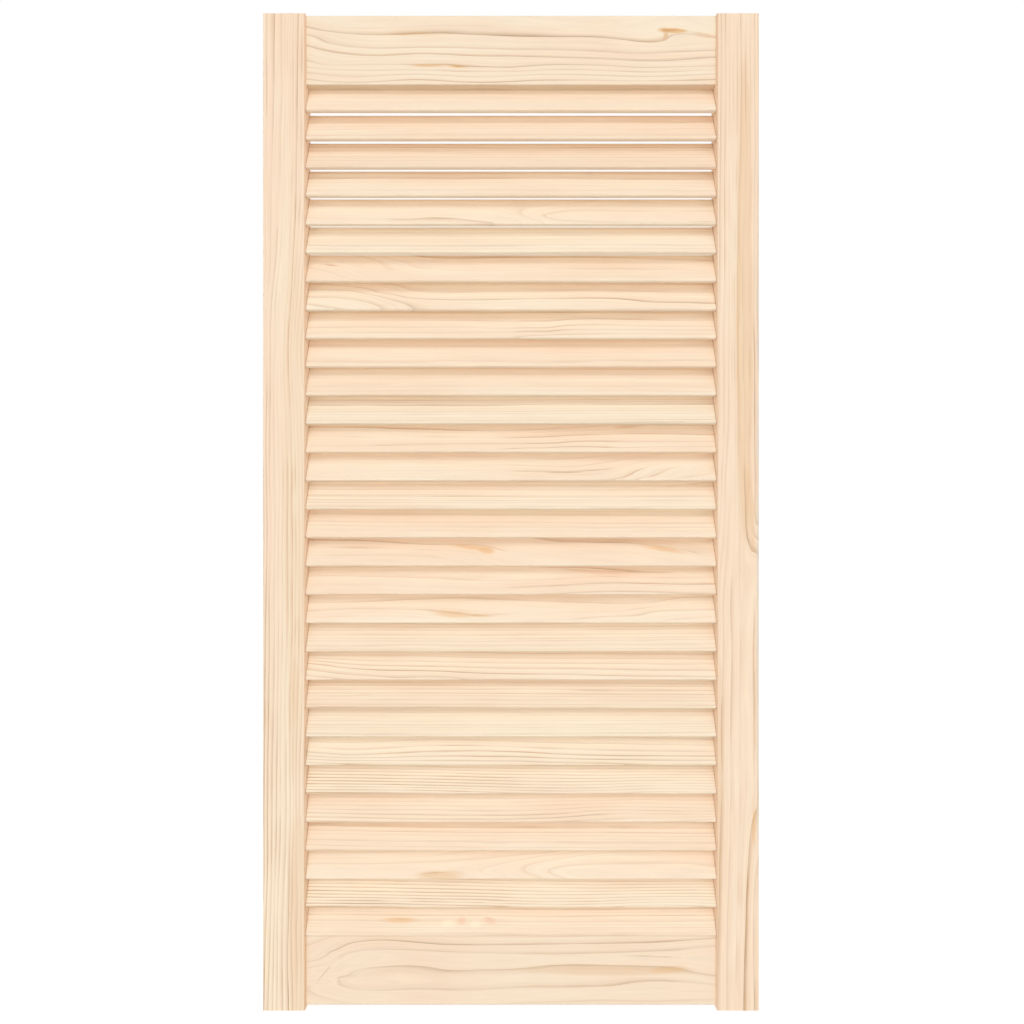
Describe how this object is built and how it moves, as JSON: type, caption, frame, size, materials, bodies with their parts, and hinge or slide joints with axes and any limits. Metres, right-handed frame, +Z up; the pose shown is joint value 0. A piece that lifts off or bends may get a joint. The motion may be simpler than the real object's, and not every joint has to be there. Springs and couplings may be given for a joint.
{
  "type": "louvred cabinet door",
  "caption": "Solid pine cabinet door: stiles and set-back rails round a ladder of fixed slanting slats let into blind mortises, with doweled corners, so air passes.",
  "frame": {"origin": "middle of the door's footprint, at the bottom ends of the stiles", "axes": "+X to the right seen from the front, -Y out of the front face, +Z up the stiles"},
  "size_m": [0.494, 0.021, 0.993],
  "materials": {
    "stiles": "planed untreated pine, matt",
    "rails": "planed untreated pine, matt",
    "slats": "planed untreated pine, matt",
    "dowels": "raw beech"
  },
  "bodies": {
    "root": {"stile_left": "stiles", "stile_right": "stiles", "rail_top": "rails", "rail_bottom": "rails", "slat_01": "slats", "slat_02": "slats", "slat_03": "slats", "slat_04": "slats", "slat_05": "slats", "slat_06": "slats", "slat_07": "slats", "slat_08": "slats", "slat_09": "slats", "slat_10": "slats", "slat_11": "slats", "slat_12": "slats", "slat_13": "slats", "slat_14": "slats", "slat_15": "slats", "slat_16": "slats", "slat_17": "slats", "slat_18": "slats", "slat_19": "slats", "slat_20": "slats", "slat_21": "slats", "slat_22": "slats", "slat_23": "slats", "slat_24": "slats", "slat_25": "slats", "slat_26": "slats", "slat_27": "slats", "slat_28": "slats", "slat_29": "slats", "slat_30": "slats", "dowel_top_left_upper": "dowels", "dowel_top_left_lower": "dowels", "dowel_top_right_upper": "dowels", "dowel_top_right_lower": "dowels", "dowel_bottom_left_upper": "dowels", "dowel_bottom_left_lower": "dowels", "dowel_bottom_right_upper": "dowels", "dowel_bottom_right_lower": "dowels"}
  },
  "joints": []
}
